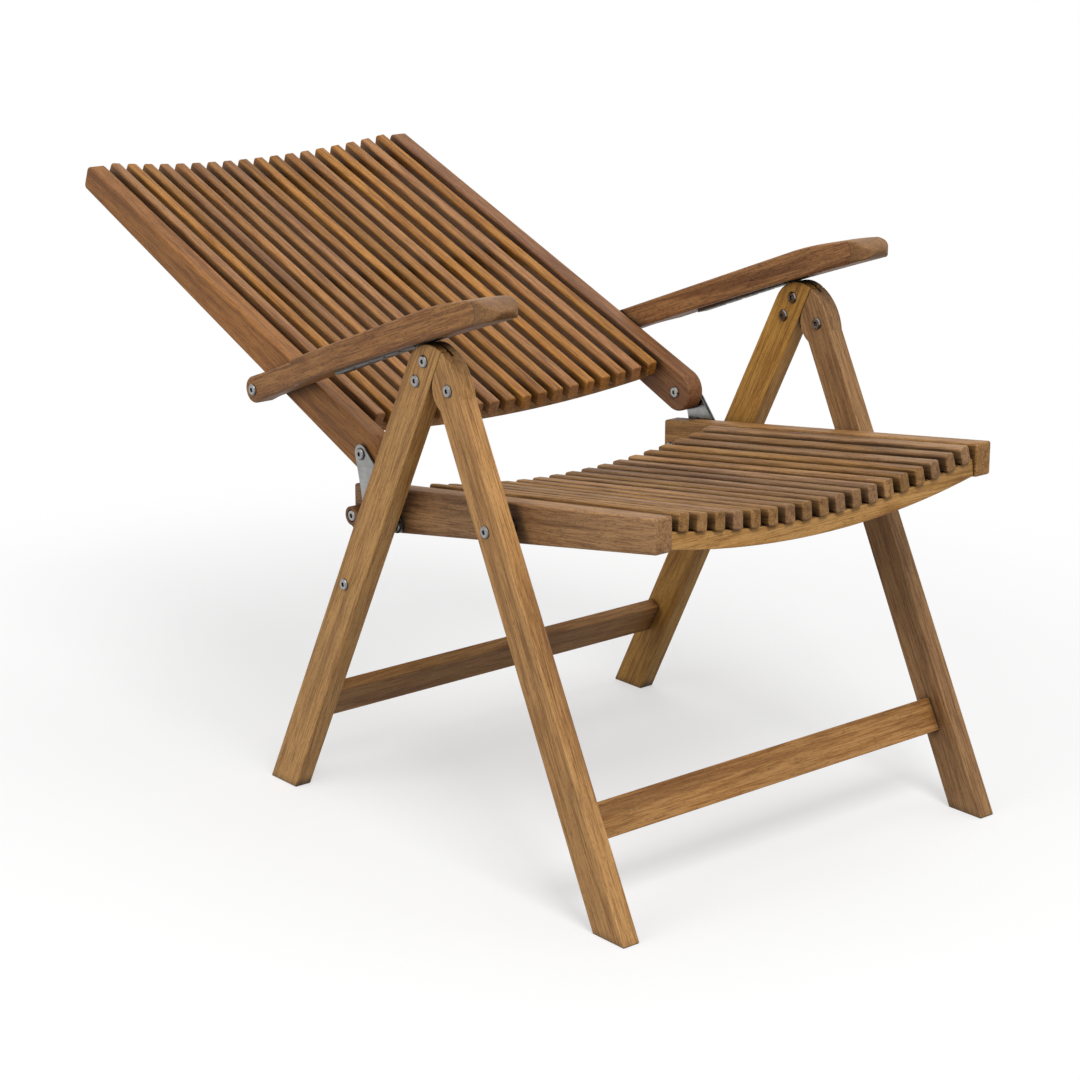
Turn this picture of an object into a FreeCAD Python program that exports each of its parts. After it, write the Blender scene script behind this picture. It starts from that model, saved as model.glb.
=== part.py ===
import FreeCAD, Part
import math
import os
import Sketcher

# Folding teak armchair. The legs, links and armrests are drawn in the side view
# of the chair. The seat and the back each have a frame of their own.
# X runs across the chair, Y to its back and Z up.

doc = FreeCAD.newDocument("FoldingArmchair")
sheet = doc.addObject("Spreadsheet::Sheet", "Sizes")


class Size:
    """A length or angle that knows its formula on the sheet and its value."""

    def __init__(self, text, value):
        self.text = text
        self.value = value

    def __add__(self, other):
        other = as_size(other)
        return Size("(" + self.text + " + " + other.text + ")", self.value + other.value)

    def __sub__(self, other):
        other = as_size(other)
        return Size("(" + self.text + " - " + other.text + ")", self.value - other.value)

    def __mul__(self, other):
        other = as_size(other)
        return Size("(" + self.text + " * " + other.text + ")", self.value * other.value)

    def __truediv__(self, other):
        other = as_size(other)
        return Size("(" + self.text + " / " + other.text + ")", self.value / other.value)

    def __neg__(self):
        return Size("(0 - " + self.text + ")", -self.value)


def as_size(number):
    if isinstance(number, Size):
        return number
    return Size(str(number), float(number))


def cosine(angle):
    return Size("cos(" + angle.text + ")", math.cos(math.radians(angle.value)))


def sine(angle):
    return Size("sin(" + angle.text + ")", math.sin(math.radians(angle.value)))


def arc_sine(ratio):
    value = math.degrees(math.asin(ratio.value))
    return Size("(asin(" + ratio.text + ") / 1 deg)", value)


def root(square):
    return Size("sqrt(" + square.text + ")", math.sqrt(square.value))


rows = []


def keep(alias, size):
    """Writes a size on the sheet under its name, and returns a reference to it."""
    size = as_size(size)
    rows.append(alias)
    cell = "B" + str(len(rows))
    sheet.set("A" + str(len(rows)), alias)
    if "Sizes." in size.text:
        sheet.set(cell, "=" + size.text.replace("Sizes.", ""))
    else:
        sheet.set(cell, size.text)
    sheet.setAlias(cell, alias)
    return Size("Sizes." + alias, size.value)


def bind(thing, where, size):
    size = as_size(size)
    thing.setExpression(where, size.text)


# Clearances and repeated sizes

MOVING_CLEARANCE = 0.3
BOLT_END_PLAY = 0.2
BOLT_HOLE_CLEARANCE = 0.05
GLUE_LINE = 0.06
EASED_EDGE = 1.6
EASED_THIN_EDGE = 1.0
EASED_RAIL_EDGE = 3

air = keep("moving_clearance", MOVING_CLEARANCE)
end_play = keep("bolt_end_play", BOLT_END_PLAY)
hole_play = keep("bolt_hole_clearance", BOLT_HOLE_CLEARANCE)
seat_fit = keep("glue_line", GLUE_LINE)
ease = keep("eased_edge", EASED_EDGE)
thin_ease = keep("eased_thin_edge", EASED_THIN_EDGE)
rail_ease = keep("eased_rail_edge", EASED_RAIL_EDGE)

BOLT_SHANK_RADIUS = 4
BOLT_HEAD_RADIUS = 7
BOLT_HEAD_HEIGHT = 2.3
BOLT_HEAD_BEVEL = 1.2
HEX_SOCKET_CORNER = 2.9
HEX_SOCKET_DEPTH = 1.5

bolt_radius = keep("bolt_shank_radius", BOLT_SHANK_RADIUS)
head_radius = keep("bolt_head_radius", BOLT_HEAD_RADIUS)
head_height = keep("bolt_head_height", BOLT_HEAD_HEIGHT)
head_bevel = keep("bolt_head_bevel", BOLT_HEAD_BEVEL)
socket_reach = keep("hex_socket_corner", HEX_SOCKET_CORNER)
socket_depth = keep("hex_socket_depth", HEX_SOCKET_DEPTH)
hole_radius = keep("bolt_hole_radius", bolt_radius + hole_play)

# Layers across the chair, from the outside of the legs to the inside of the rails

HALF_WIDTH_OVER_LEGS = 290
LEG_THICKNESS = 22.4
LINK_THICKNESS = 7.3
BACK_HINGE_PLATE_THICKNESS = 4
RAIL_THICKNESS = 24.1

half_width = keep("half_width_over_legs", HALF_WIDTH_OVER_LEGS)
leg_thickness = keep("leg_thickness", LEG_THICKNESS)
link_thickness = keep("link_thickness", LINK_THICKNESS)
plate_thickness = keep("back_hinge_plate_thickness", BACK_HINGE_PLATE_THICKNESS)
rail_thickness = keep("rail_thickness", RAIL_THICKNESS)
leg_inside = keep("leg_inner_face", half_width - leg_thickness)
link_outside = keep("link_outer_face", leg_inside - air)
link_inside = keep("link_inner_face", link_outside - link_thickness)
plate_outside = keep("back_hinge_plate_face", link_inside - air - head_height)
rail_outside = keep("seat_rail_outer_face", plate_outside - plate_thickness)
rail_inside = keep("rail_inner_face", rail_outside - rail_thickness)
back_outside = keep("back_rail_outer_face", rail_outside - air)
inner_head = keep("inner_bolt_end", rail_inside - end_play - head_height)
outer_head = keep("outer_bolt_end", half_width + head_height)
leg_middle = keep("leg_middle_layer", half_width - leg_thickness / 2)

# Pivots and bolts in the side view, with the fixings counted from the leg pivot

LEG_PIVOT_Y = -160
LEG_PIVOT_HEIGHT = 544.3
UPPER_FIXING_Y = 42
UPPER_FIXING_HEIGHT = 25.3
LOWER_FIXING_Y = 56.5
LOWER_FIXING_HEIGHT = 1.4
SEAT_PIVOT_Y = -222.5
SEAT_PIVOT_HEIGHT = 402
LINK_FOOT_Y = 36.9
LINK_FOOT_HEIGHT = 282.4
LINK_HEAD_Y = 52.5
LINK_HEAD_HEIGHT = 356.5
BACK_PIVOT_Y = 45.4
BACK_PIVOT_HEIGHT = 429.5
PLATE_BOLT_Y = -21
PLATE_BOLT_HEIGHT = 359.3
ARM_PIVOT_Y = 226.6
ARM_PIVOT_HEIGHT = 475.9

leg_pivot_y = keep("leg_pivot_y", LEG_PIVOT_Y)
leg_pivot_z = keep("leg_pivot_height", LEG_PIVOT_HEIGHT)
upper_fixing_y = keep("upper_fixing_y", leg_pivot_y + UPPER_FIXING_Y)
upper_fixing_z = keep("upper_fixing_height", leg_pivot_z + UPPER_FIXING_HEIGHT)
lower_fixing_y = keep("lower_fixing_y", leg_pivot_y + LOWER_FIXING_Y)
lower_fixing_z = keep("lower_fixing_height", leg_pivot_z + LOWER_FIXING_HEIGHT)
seat_pivot_y = keep("seat_pivot_y", SEAT_PIVOT_Y)
seat_pivot_z = keep("seat_pivot_height", SEAT_PIVOT_HEIGHT)
link_foot_y = keep("link_foot_y", LINK_FOOT_Y)
link_foot_z = keep("link_foot_height", LINK_FOOT_HEIGHT)
link_head_y = keep("link_head_y", LINK_HEAD_Y)
link_head_z = keep("link_head_height", LINK_HEAD_HEIGHT)
back_pivot_y = keep("back_pivot_y", BACK_PIVOT_Y)
back_pivot_z = keep("back_pivot_height", BACK_PIVOT_HEIGHT)
plate_bolt_y = keep("plate_bolt_y", PLATE_BOLT_Y)
plate_bolt_z = keep("plate_bolt_height", PLATE_BOLT_HEIGHT)
arm_pivot_y = keep("arm_pivot_y", ARM_PIVOT_Y)
arm_pivot_z = keep("arm_pivot_height", ARM_PIVOT_HEIGHT)

# Seat and back frames

SEAT_FRONT_Y = -450.5
SEAT_FRONT_HEIGHT = 459
SEAT_PITCH = 7.61
BACK_PITCH = 21.7
SEAT_RAIL_LENGTH = 520
BACK_LENGTH = 644
BACK_RAIL_ABOVE_PIVOT = 27
SLAT_THICKNESS = 20
BACK_DISH = 15
SEAT_DISH = 19.5

seat_front_y = keep("seat_front_y", SEAT_FRONT_Y)
seat_front_z = keep("seat_front_height", SEAT_FRONT_HEIGHT)
seat_pitch = keep("seat_pitch", SEAT_PITCH)
back_pitch = keep("back_pitch", BACK_PITCH)
seat_length = keep("seat_rail_length", SEAT_RAIL_LENGTH)
back_length = keep("back_length", BACK_LENGTH)
back_rise = keep("back_rail_above_pivot", BACK_RAIL_ABOVE_PIVOT)
slat_thickness = keep("slat_thickness", SLAT_THICKNESS)
back_dish = keep("back_dish", BACK_DISH)
seat_dish = keep("seat_dish", SEAT_DISH)

# The chair stands with the middle of its depth at the origin

FRONT_FOOT_TOE = -450.7

front_foot_toe = keep("front_foot_toe", FRONT_FOOT_TOE)
back_end_drop = keep("back_end_drop", slat_thickness + back_dish - back_rise)
back_reach = keep("back_reach", back_length * cosine(back_pitch) + back_end_drop * sine(back_pitch))
depth_middle = keep("depth_middle", (front_foot_toe + back_pivot_y + back_reach) / 2)


def to_seat(y, z):
    """A point of the side view, in the frame of the seat."""
    along = (y - seat_front_y) * cosine(seat_pitch) - (z - seat_front_z) * sine(seat_pitch)
    above = (y - seat_front_y) * sine(seat_pitch) + (z - seat_front_z) * cosine(seat_pitch)
    return along, above


def to_back(y, z):
    """A point of the side view, in the frame of the back."""
    along = (y - back_pivot_y) * cosine(back_pitch) + (z - back_pivot_z) * sine(back_pitch)
    above = (z - back_pivot_z) * cosine(back_pitch) - (y - back_pivot_y) * sine(back_pitch)
    return along, above


def keep_point(alias, point):
    return keep(alias + "_along", point[0]), keep(alias + "_above", point[1])


seat_pivot = keep_point("seat_pivot_in_seat", to_seat(seat_pivot_y, seat_pivot_z))
link_head = keep_point("link_head_in_seat", to_seat(link_head_y, link_head_z))
plate_bolt = keep_point("plate_bolt_in_seat", to_seat(plate_bolt_y, plate_bolt_z))
back_pivot = keep_point("back_pivot_in_seat", to_seat(back_pivot_y, back_pivot_z))
arm_pivot = keep_point("arm_pivot_in_back", to_back(arm_pivot_y, arm_pivot_z))

bodies = {}


def new_body(name, label, frame="side"):
    body = doc.addObject("PartDesign::Body", name)
    body.Label = label
    if frame == "seat":
        bind(body, "Placement.Base.y", seat_front_y - depth_middle)
        bind(body, "Placement.Base.z", seat_front_z)
        body.Placement.Rotation = FreeCAD.Rotation(FreeCAD.Vector(1, 0, 0), -1)
        bind(body, "Placement.Rotation.Angle", -seat_pitch)
    elif frame == "back":
        bind(body, "Placement.Base.y", back_pivot_y - depth_middle)
        bind(body, "Placement.Base.z", back_pivot_z)
        body.Placement.Rotation = FreeCAD.Rotation(FreeCAD.Vector(1, 0, 0), 1)
        bind(body, "Placement.Rotation.Angle", back_pitch)
    else:
        bind(body, "Placement.Base.y", -depth_middle)
    bodies[name] = body
    return body


def plane(body, role):
    for feature in body.Origin.OriginFeatures:
        if feature.Role == role:
            return feature


def fix(sketch, kind, index, place, size):
    size = as_size(size)
    if kind == "Radius":
        number = sketch.addConstraint(Sketcher.Constraint(kind, index, size.value))
    else:
        number = sketch.addConstraint(Sketcher.Constraint(kind, -1, 1, index, place, size.value))
    if "Sizes." in size.text:
        sketch.setExpression("Constraints[" + str(number) + "]", size.text)


def arc_between(start, end, radius):
    """A short arc that bulges to the right of the way from start to end if radius > 0."""
    chord = end - start
    left = FreeCAD.Vector(-chord.y, chord.x, 0).normalize()
    depth = math.sqrt(max(radius * radius - chord.Length * chord.Length / 4, 0))
    side = 1 if radius > 0 else -1
    centre = (start + end) * 0.5 + left * (depth * side)
    first, last = (start, end) if radius > 0 else (end, start)
    begin = math.atan2(first.y - centre.y, first.x - centre.x)
    finish = math.atan2(last.y - centre.y, last.x - centre.x)
    if finish <= begin:
        finish += 2 * math.pi
    circle = Part.Circle(centre, FreeCAD.Vector(0, 0, 1), abs(radius))
    return Part.ArcOfCircle(circle, begin, finish)


def new_sketch(body, name, role, lift=0, shift=None):
    sketch = body.newObject("Sketcher::SketchObject", name)
    sketch.AttachmentSupport = (plane(body, role), "")
    sketch.MapMode = "FlatFace"
    bind(sketch, "AttachmentOffset.Base.z", lift)
    if shift:
        bind(sketch, "AttachmentOffset.Base.x", shift[0])
        bind(sketch, "AttachmentOffset.Base.y", shift[1])
    return sketch


def add_outline(sketch, points):
    """A closed outline. A point's third entry is the radius of the arc after it."""
    count = len(points)
    spots = [FreeCAD.Vector(as_size(p[0]).value, as_size(p[1]).value, 0) for p in points]
    edges = []
    for index in range(count):
        start = spots[index]
        end = spots[(index + 1) % count]
        radius = points[index][2] if len(points[index]) > 2 else None
        if radius is None:
            edges.append((sketch.addGeometry(Part.LineSegment(start, end), False), 1, 2))
        else:
            value = as_size(radius).value
            arc = sketch.addGeometry(arc_between(start, end, value), False)
            edges.append((arc, 1, 2) if value > 0 else (arc, 2, 1))
    for index in range(count):
        here = edges[index]
        after = edges[(index + 1) % count]
        sketch.addConstraint(Sketcher.Constraint("Coincident", here[0], here[2], after[0], after[1]))
    for index in range(count):
        fix(sketch, "DistanceX", edges[index][0], edges[index][1], points[index][0])
        fix(sketch, "DistanceY", edges[index][0], edges[index][1], points[index][1])
        if len(points[index]) > 2:
            radius = as_size(points[index][2])
            fix(sketch, "Radius", edges[index][0], 0, radius if radius.value > 0 else -radius)


def add_circle(sketch, across, up, radius):
    middle = FreeCAD.Vector(as_size(across).value, as_size(up).value, 0)
    circle = Part.Circle(middle, FreeCAD.Vector(0, 0, 1), as_size(radius).value)
    index = sketch.addGeometry(circle, False)
    fix(sketch, "DistanceX", index, 3, across)
    fix(sketch, "DistanceY", index, 3, up)
    fix(sketch, "Radius", index, 0, radius)


def pad(body, name, sketch, length, reverse=False):
    feature = body.newObject("PartDesign::Pad", name)
    feature.Profile = sketch
    feature.Reversed = reverse
    bind(feature, "Length", length)
    return feature


def pocket(body, name, sketch, depth=None, reverse=False):
    feature = body.newObject("PartDesign::Pocket", name)
    feature.Profile = sketch
    if depth is None:
        feature.Type = "ThroughAll"
        feature.Midplane = True
    else:
        feature.Reversed = reverse
        bind(feature, "Length", depth)
    return feature


def soften(body, name, base, radius, wanted=None):
    feature = body.newObject("PartDesign::Fillet", name)
    if wanted is None:
        feature.Base = (base, [])
        feature.UseAllEdges = True
    else:
        doc.recompute()
        chosen = []
        for number, edge in enumerate(base.Shape.Edges):
            if wanted(edge):
                chosen.append("Edge" + str(number + 1))
        feature.Base = (base, chosen)
    bind(feature, "Radius", radius)
    return feature


def mirror(body, name, originals):
    feature = body.newObject("PartDesign::Mirrored", name)
    feature.Originals = originals
    feature.MirrorPlane = (plane(body, "YZ_Plane"), [""])
    body.Tip = feature
    return feature


def lower_face(side, inside, outside):
    """The face of a layer with the smaller X, on this side of the chair."""
    return inside if side > 0 else -outside


def slab(body, name, side, inside, outside, outline):
    """A board cut to a side outline, standing in one layer of the chair."""
    sketch = new_sketch(body, name + "Outline", "YZ_Plane", lower_face(side, inside, outside))
    add_outline(sketch, outline)
    return pad(body, name, sketch, outside - inside)


def bore(body, name, side, layer, centres, radius=hole_radius):
    sketch = new_sketch(body, name + "Circles", "YZ_Plane", layer if side > 0 else -layer)
    for centre in centres:
        add_circle(sketch, centre[0], centre[1], radius)
    return pocket(body, name, sketch)


def bolt(body, name, side, centre, inner, outer, inner_headed=True):
    """A hex socket bolt turned about its own axis, with bevelled heads."""
    turned = new_sketch(body, name + "Half", "XY_Plane", centre[1], (0, centre[0]))
    sign = 1 if side > 0 else -1
    rim = head_radius - head_bevel
    points = []
    if inner_headed:
        points.append((inner, 0))
        points.append((inner, rim))
        points.append((inner + head_bevel, head_radius))
        points.append((inner + head_height, head_radius))
        points.append((inner + head_height, bolt_radius))
    else:
        points.append((inner, 0))
        points.append((inner, bolt_radius))
    points.append((outer - head_height, bolt_radius))
    points.append((outer - head_height, head_radius))
    points.append((outer - head_bevel, head_radius))
    points.append((outer, rim))
    points.append((outer, 0))
    if sign < 0:
        points = [(-point[0], point[1]) for point in points]
    add_outline(turned, points)
    shape = body.newObject("PartDesign::Revolution", name)
    shape.Profile = turned
    shape.ReferenceAxis = (turned, ["H_Axis"])
    shape.Angle = 360
    features = [shape]
    ends = [("Outer", outer, False)]
    if inner_headed:
        ends.append(("Inner", inner, True))
    for end, face, backwards in ends:
        hexagon = new_sketch(body, name + end + "Hex", "YZ_Plane", face if side > 0 else -face,
                             centre)
        corners = []
        for corner in range(6):
            turn = math.radians(60 * corner)
            corners.append((socket_reach * round(math.cos(turn), 9),
                            socket_reach * round(math.sin(turn), 9)))
        add_outline(hexagon, corners)
        cut_forward = backwards if side > 0 else not backwards
        features.append(pocket(body, name + end + "Socket", hexagon, socket_depth, cut_forward))
    return features


sides = (("left", "Left", -1), ("right", "Right", 1))

# Legs, with the butt face that the two pairs close against. The shoulder and the neck are
# counted from the leg pivot.

BUTT_ANGLE = 25.85
BUTT_REACH = 28.6
BUTT_LOW_END = 4.3
BUTT_HIGH_END = 30.97
REAR_FOOT_HEEL = 199
REAR_FOOT_TOE = 147.3
REAR_SHOULDER_Y = 69
REAR_SHOULDER_HEIGHT = 23.3
REAR_CROWN_RADIUS = 41
FRONT_FOOT_HEEL = -400
FRONT_CORNER_ANGLE = 60.5
FRONT_NECK_Y = -21
FRONT_NECK_HEIGHT = -6.3
FRONT_CROWN_RADIUS = 62
FRONT_TIP_REACH = 31

butt_angle = keep("butt_angle", BUTT_ANGLE)
butt_reach = keep("butt_reach", BUTT_REACH)
front_butt_reach = keep("front_butt_reach", butt_reach - air)
butt_low = keep("butt_low_end", BUTT_LOW_END)
butt_high = keep("butt_high_end", BUTT_HIGH_END)
rear_foot_heel = keep("rear_foot_heel", REAR_FOOT_HEEL)
rear_foot_toe = keep("rear_foot_toe", REAR_FOOT_TOE)
rear_shoulder_y = keep("rear_shoulder_y", leg_pivot_y + REAR_SHOULDER_Y)
rear_shoulder_z = keep("rear_shoulder_height", leg_pivot_z + REAR_SHOULDER_HEIGHT)
rear_crown = keep("rear_crown_radius", REAR_CROWN_RADIUS)
front_foot_heel = keep("front_foot_heel", FRONT_FOOT_HEEL)
front_corner_angle = keep("front_corner_angle", FRONT_CORNER_ANGLE)
front_neck_y = keep("front_neck_y", leg_pivot_y + FRONT_NECK_Y)
front_neck_z = keep("front_neck_height", leg_pivot_z + FRONT_NECK_HEIGHT)
front_crown = keep("front_crown_radius", FRONT_CROWN_RADIUS)
front_tip = keep("front_tip_reach", FRONT_TIP_REACH)


def on_butt(reach, up):
    y = leg_pivot_y + reach * cosine(butt_angle) - up * sine(butt_angle)
    z = leg_pivot_z + reach * sine(butt_angle) + up * cosine(butt_angle)
    return y, z


butt_bottom = keep_point("rear_butt_bottom", on_butt(butt_reach, -butt_low))
butt_top = keep_point("rear_butt_top", on_butt(butt_reach, butt_high))
front_butt_foot = keep_point("front_butt_foot", on_butt(front_butt_reach, as_size(0)))
front_butt_tip = keep_point("front_butt_tip", on_butt(front_butt_reach, front_tip))
corner_y = keep("front_corner_y", leg_pivot_y + front_butt_reach * cosine(front_corner_angle))
corner_z = keep("front_corner_z", leg_pivot_z - front_butt_reach * sine(front_corner_angle))

rear_leg_outline = [
    (rear_foot_toe, 0),
    (rear_foot_heel, 0),
    (rear_shoulder_y, rear_shoulder_z, rear_crown),
    butt_top,
    butt_bottom,
]
front_leg_outline = [
    (front_foot_toe, 0),
    (front_foot_heel, 0),
    (corner_y, corner_z, front_butt_reach),
    front_butt_foot,
    (front_butt_tip[0], front_butt_tip[1], front_crown),
    (front_neck_y, front_neck_z),
]

LEG_PLATE_THICKNESS = 3
LEG_PLATE_MARGIN = 9
LEG_SLOT_SWEEP = 34
LEG_PLATE_EDGE = 11

tongue_thickness = keep("leg_plate_thickness", LEG_PLATE_THICKNESS)
tongue_slot = keep("leg_plate_slot", tongue_thickness + end_play + end_play)
tongue_margin = keep("leg_plate_margin", LEG_PLATE_MARGIN)
slot_sweep = keep("leg_slot_sweep", LEG_SLOT_SWEEP)
plate_round = keep("leg_plate_edge", LEG_PLATE_EDGE)

tongue_outline = [
    (leg_pivot_y - plate_round, leg_pivot_z - tongue_margin / 2),
    (leg_pivot_y + plate_round / 2, leg_pivot_z - tongue_margin),
    (lower_fixing_y + tongue_margin, lower_fixing_z - tongue_margin),
    (lower_fixing_y + plate_round, lower_fixing_z + tongue_margin / 2),
    (upper_fixing_y + tongue_margin, upper_fixing_z + tongue_margin / 2),
    (upper_fixing_y - tongue_margin / 2, upper_fixing_z + tongue_margin),
    (leg_pivot_y - tongue_margin / 2, leg_pivot_z + plate_round),
]
LEG_SLOT_MARGIN = 13
LEG_SLOT_CROWN_REACH = 4
LEG_SLOT_CROWN_RISE = 48
LEG_SLOT_NOTCH_START = 20
LEG_SLOT_NOTCH_FOOT = 12
LEG_SLOT_NOTCH_TOP = 50

wide = keep("leg_slot_margin", LEG_SLOT_MARGIN)
slot_crown_reach = keep("leg_slot_crown_reach", LEG_SLOT_CROWN_REACH)
slot_crown_rise = keep("leg_slot_crown_rise", LEG_SLOT_CROWN_RISE)
notch_start = keep("leg_slot_notch_start", LEG_SLOT_NOTCH_START)
notch_foot = keep("leg_slot_notch_foot", LEG_SLOT_NOTCH_FOOT)
notch_top = keep("leg_slot_notch_top", LEG_SLOT_NOTCH_TOP)
rear_slot_outline = [
    (leg_pivot_y, leg_pivot_z - wide),
    (lower_fixing_y + wide, lower_fixing_z - wide),
    (lower_fixing_y + wide, lower_fixing_z + tongue_margin),
    (upper_fixing_y + slot_crown_reach, upper_fixing_z + wide),
    (upper_fixing_y + slot_crown_reach, upper_fixing_z + slot_crown_rise),
    (leg_pivot_y, upper_fixing_z + slot_crown_rise),
]
LEG_SLOT_HALF_ANGLE = 75
LEG_SLOT_HUB_RADIUS = 13.5
LEG_SLOT_HUB_ANGLE = 120

slot_opening = keep("leg_slot_half_angle", LEG_SLOT_HALF_ANGLE)
slot_hub = keep("leg_slot_hub_radius", LEG_SLOT_HUB_RADIUS)
hub_angle = keep("leg_slot_hub_angle", LEG_SLOT_HUB_ANGLE)
mouth_y = slot_sweep * cosine(slot_opening)
mouth_z = slot_sweep * sine(slot_opening)
hub_y = slot_hub * cosine(hub_angle)
hub_z = slot_hub * sine(hub_angle)
front_slot_outline = [
    (leg_pivot_y + mouth_y, leg_pivot_z - mouth_z, slot_sweep),
    (leg_pivot_y + mouth_y, leg_pivot_z + mouth_z),
    (leg_pivot_y + hub_y, leg_pivot_z + hub_z, slot_hub),
    (leg_pivot_y + hub_y, leg_pivot_z - hub_z),
]
front_notch_outline = [
    on_butt(notch_start, notch_foot),
    on_butt(butt_reach * 2, notch_foot),
    on_butt(butt_reach * 2, notch_top),
    on_butt(notch_start, notch_top),
]

for word, title, side in sides:
    body = new_body("rear_leg_" + word, title + " rear leg")
    board = slab(body, "Board", side, leg_inside, half_width, rear_leg_outline)
    soften(body, "EasedEdges", board, ease)
    places = [(upper_fixing_y, upper_fixing_z), (lower_fixing_y, lower_fixing_z)]
    places.append((link_foot_y, link_foot_z))
    bore(body, "BoltHoles", side, leg_middle, places)
    slot_face = leg_middle * side + tongue_slot / 2
    slot_sketch = new_sketch(body, "PlateSlotOutline", "YZ_Plane", slot_face)
    add_outline(slot_sketch, rear_slot_outline)
    pocket(body, "PlateSlot", slot_sketch, tongue_slot)

    body = new_body("leg_hinge_plate_" + word, title + " leg hinge plate")
    half = tongue_thickness / 2
    plate = slab(body, "Plate", side, leg_middle - half, leg_middle + half, tongue_outline)
    places = [(leg_pivot_y, leg_pivot_z), (upper_fixing_y, upper_fixing_z)]
    places.append((lower_fixing_y, lower_fixing_z))
    bore(body, "BoltHoles", side, leg_middle, places)

    body = new_body("front_leg_" + word, title + " front leg")
    board = slab(body, "Board", side, leg_inside, half_width, front_leg_outline)
    soften(body, "EasedEdges", board, ease)
    places = [(leg_pivot_y, leg_pivot_z), (seat_pivot_y, seat_pivot_z)]
    bore(body, "BoltHoles", side, leg_middle, places)
    slot_sketch = new_sketch(body, "PlateSlotOutline", "YZ_Plane", slot_face)
    add_outline(slot_sketch, front_slot_outline)
    pocket(body, "PlateSlot", slot_sketch, tongue_slot)
    notch_sketch = new_sketch(body, "PlateNotchOutline", "YZ_Plane", slot_face)
    add_outline(notch_sketch, front_notch_outline)
    pocket(body, "PlateNotch", notch_sketch, tongue_slot)

# Stretchers

FRONT_STRETCHER_Y = -380.7
FRONT_STRETCHER_HEIGHT = 92
FRONT_STRETCHER_WIDTH = 40.3
FRONT_STRETCHER_THICKNESS = 17.6
FRONT_STRETCHER_LEAN = 62
REAR_STRETCHER_Y = 145
REAR_STRETCHER_HEIGHT = 95
REAR_STRETCHER_WIDTH = 42
REAR_STRETCHER_THICKNESS = 16.4
REAR_STRETCHER_LEAN = 119

front_bar_y = keep("front_stretcher_y", FRONT_STRETCHER_Y)
front_bar_z = keep("front_stretcher_height", FRONT_STRETCHER_HEIGHT)
front_bar_width = keep("front_stretcher_width", FRONT_STRETCHER_WIDTH)
front_bar_depth = keep("front_stretcher_thickness", FRONT_STRETCHER_THICKNESS)
front_bar_lean = keep("front_stretcher_lean", FRONT_STRETCHER_LEAN)
rear_bar_y = keep("rear_stretcher_y", REAR_STRETCHER_Y)
rear_bar_z = keep("rear_stretcher_height", REAR_STRETCHER_HEIGHT)
rear_bar_width = keep("rear_stretcher_width", REAR_STRETCHER_WIDTH)
rear_bar_depth = keep("rear_stretcher_thickness", REAR_STRETCHER_THICKNESS)
rear_bar_lean = keep("rear_stretcher_lean", REAR_STRETCHER_LEAN)

for name, label, y, z, width, depth, lean, turn in (
    ("front_stretcher", "Front stretcher", front_bar_y, front_bar_z, front_bar_width,
     front_bar_depth, front_bar_lean, -1),
    ("rear_stretcher", "Rear stretcher", rear_bar_y, rear_bar_z, rear_bar_width,
     rear_bar_depth, rear_bar_lean, 1),
):
    body = new_body(name, label)
    up_y = width * cosine(lean)
    up_z = width * sine(lean)
    over_y = depth * sine(lean) * turn
    over_z = depth * cosine(lean) * turn
    outline = [
        (y, z),
        (y + up_y, z + up_z),
        (y + up_y - over_y, z + up_z + over_z),
        (y - over_y, z + over_z),
    ]
    bar = slab(body, "Bar", 1, -leg_inside, leg_inside, outline)
    soften(body, "EasedEdges", bar, thin_ease)

# Bolts of the rear frame and of the front frame

body = new_body("hinge_plate_bolts", "Hinge plate bolts")
upper = bolt(body, "Upper", 1, (upper_fixing_y, upper_fixing_z), leg_inside - head_height, outer_head)
lower = bolt(body, "Lower", 1, (lower_fixing_y, lower_fixing_z), leg_inside - head_height, outer_head)
mirror(body, "OtherSide", upper + lower)

body = new_body("link_leg_bolts", "Link bolts in the rear legs")
stub = bolt(body, "Stub", 1, (link_foot_y, link_foot_z), leg_inside, outer_head, False)
mirror(body, "OtherSide", stub)

body = new_body("leg_hinge_bolts", "Leg hinge bolts")
pin = bolt(body, "Pin", 1, (leg_pivot_y, leg_pivot_z), leg_inside - head_height, outer_head)
mirror(body, "OtherSide", pin)

body = new_body("seat_pivot_bolts", "Seat pivot bolts")
pin = bolt(body, "Pin", 1, (seat_pivot_y, seat_pivot_z), inner_head, outer_head)
mirror(body, "OtherSide", pin)

SPACER_RADIUS = 9

spacer_radius = keep("spacer_radius", SPACER_RADIUS)
body = new_body("seat_pivot_spacers", "Seat pivot spacers")
ring = new_sketch(body, "Ring", "YZ_Plane", rail_outside + end_play)
add_circle(ring, seat_pivot_y, seat_pivot_z, spacer_radius)
add_circle(ring, seat_pivot_y, seat_pivot_z, hole_radius)
tube = pad(body, "Tube", ring, leg_inside - rail_outside - end_play)
mirror(body, "OtherSide", [tube])

# Links, curved forward so that they hide behind the rear legs

LINK_END_RADIUS = 11
LINK_HEAD_ANGLE = 44
LINK_FOOT_ANGLE = 19
LINK_FRONT_CURVE = 50.6
LINK_REAR_CURVE = 35.8

boss_radius = keep("link_end_radius", LINK_END_RADIUS)
link_head_angle = keep("link_head_angle", LINK_HEAD_ANGLE)
link_foot_angle = keep("link_foot_angle", LINK_FOOT_ANGLE)
link_front_curve = keep("link_front_curve", LINK_FRONT_CURVE)
link_rear_curve = keep("link_rear_curve", LINK_REAR_CURVE)
recess_radius = keep("link_bolt_recess", head_radius + air)

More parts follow.
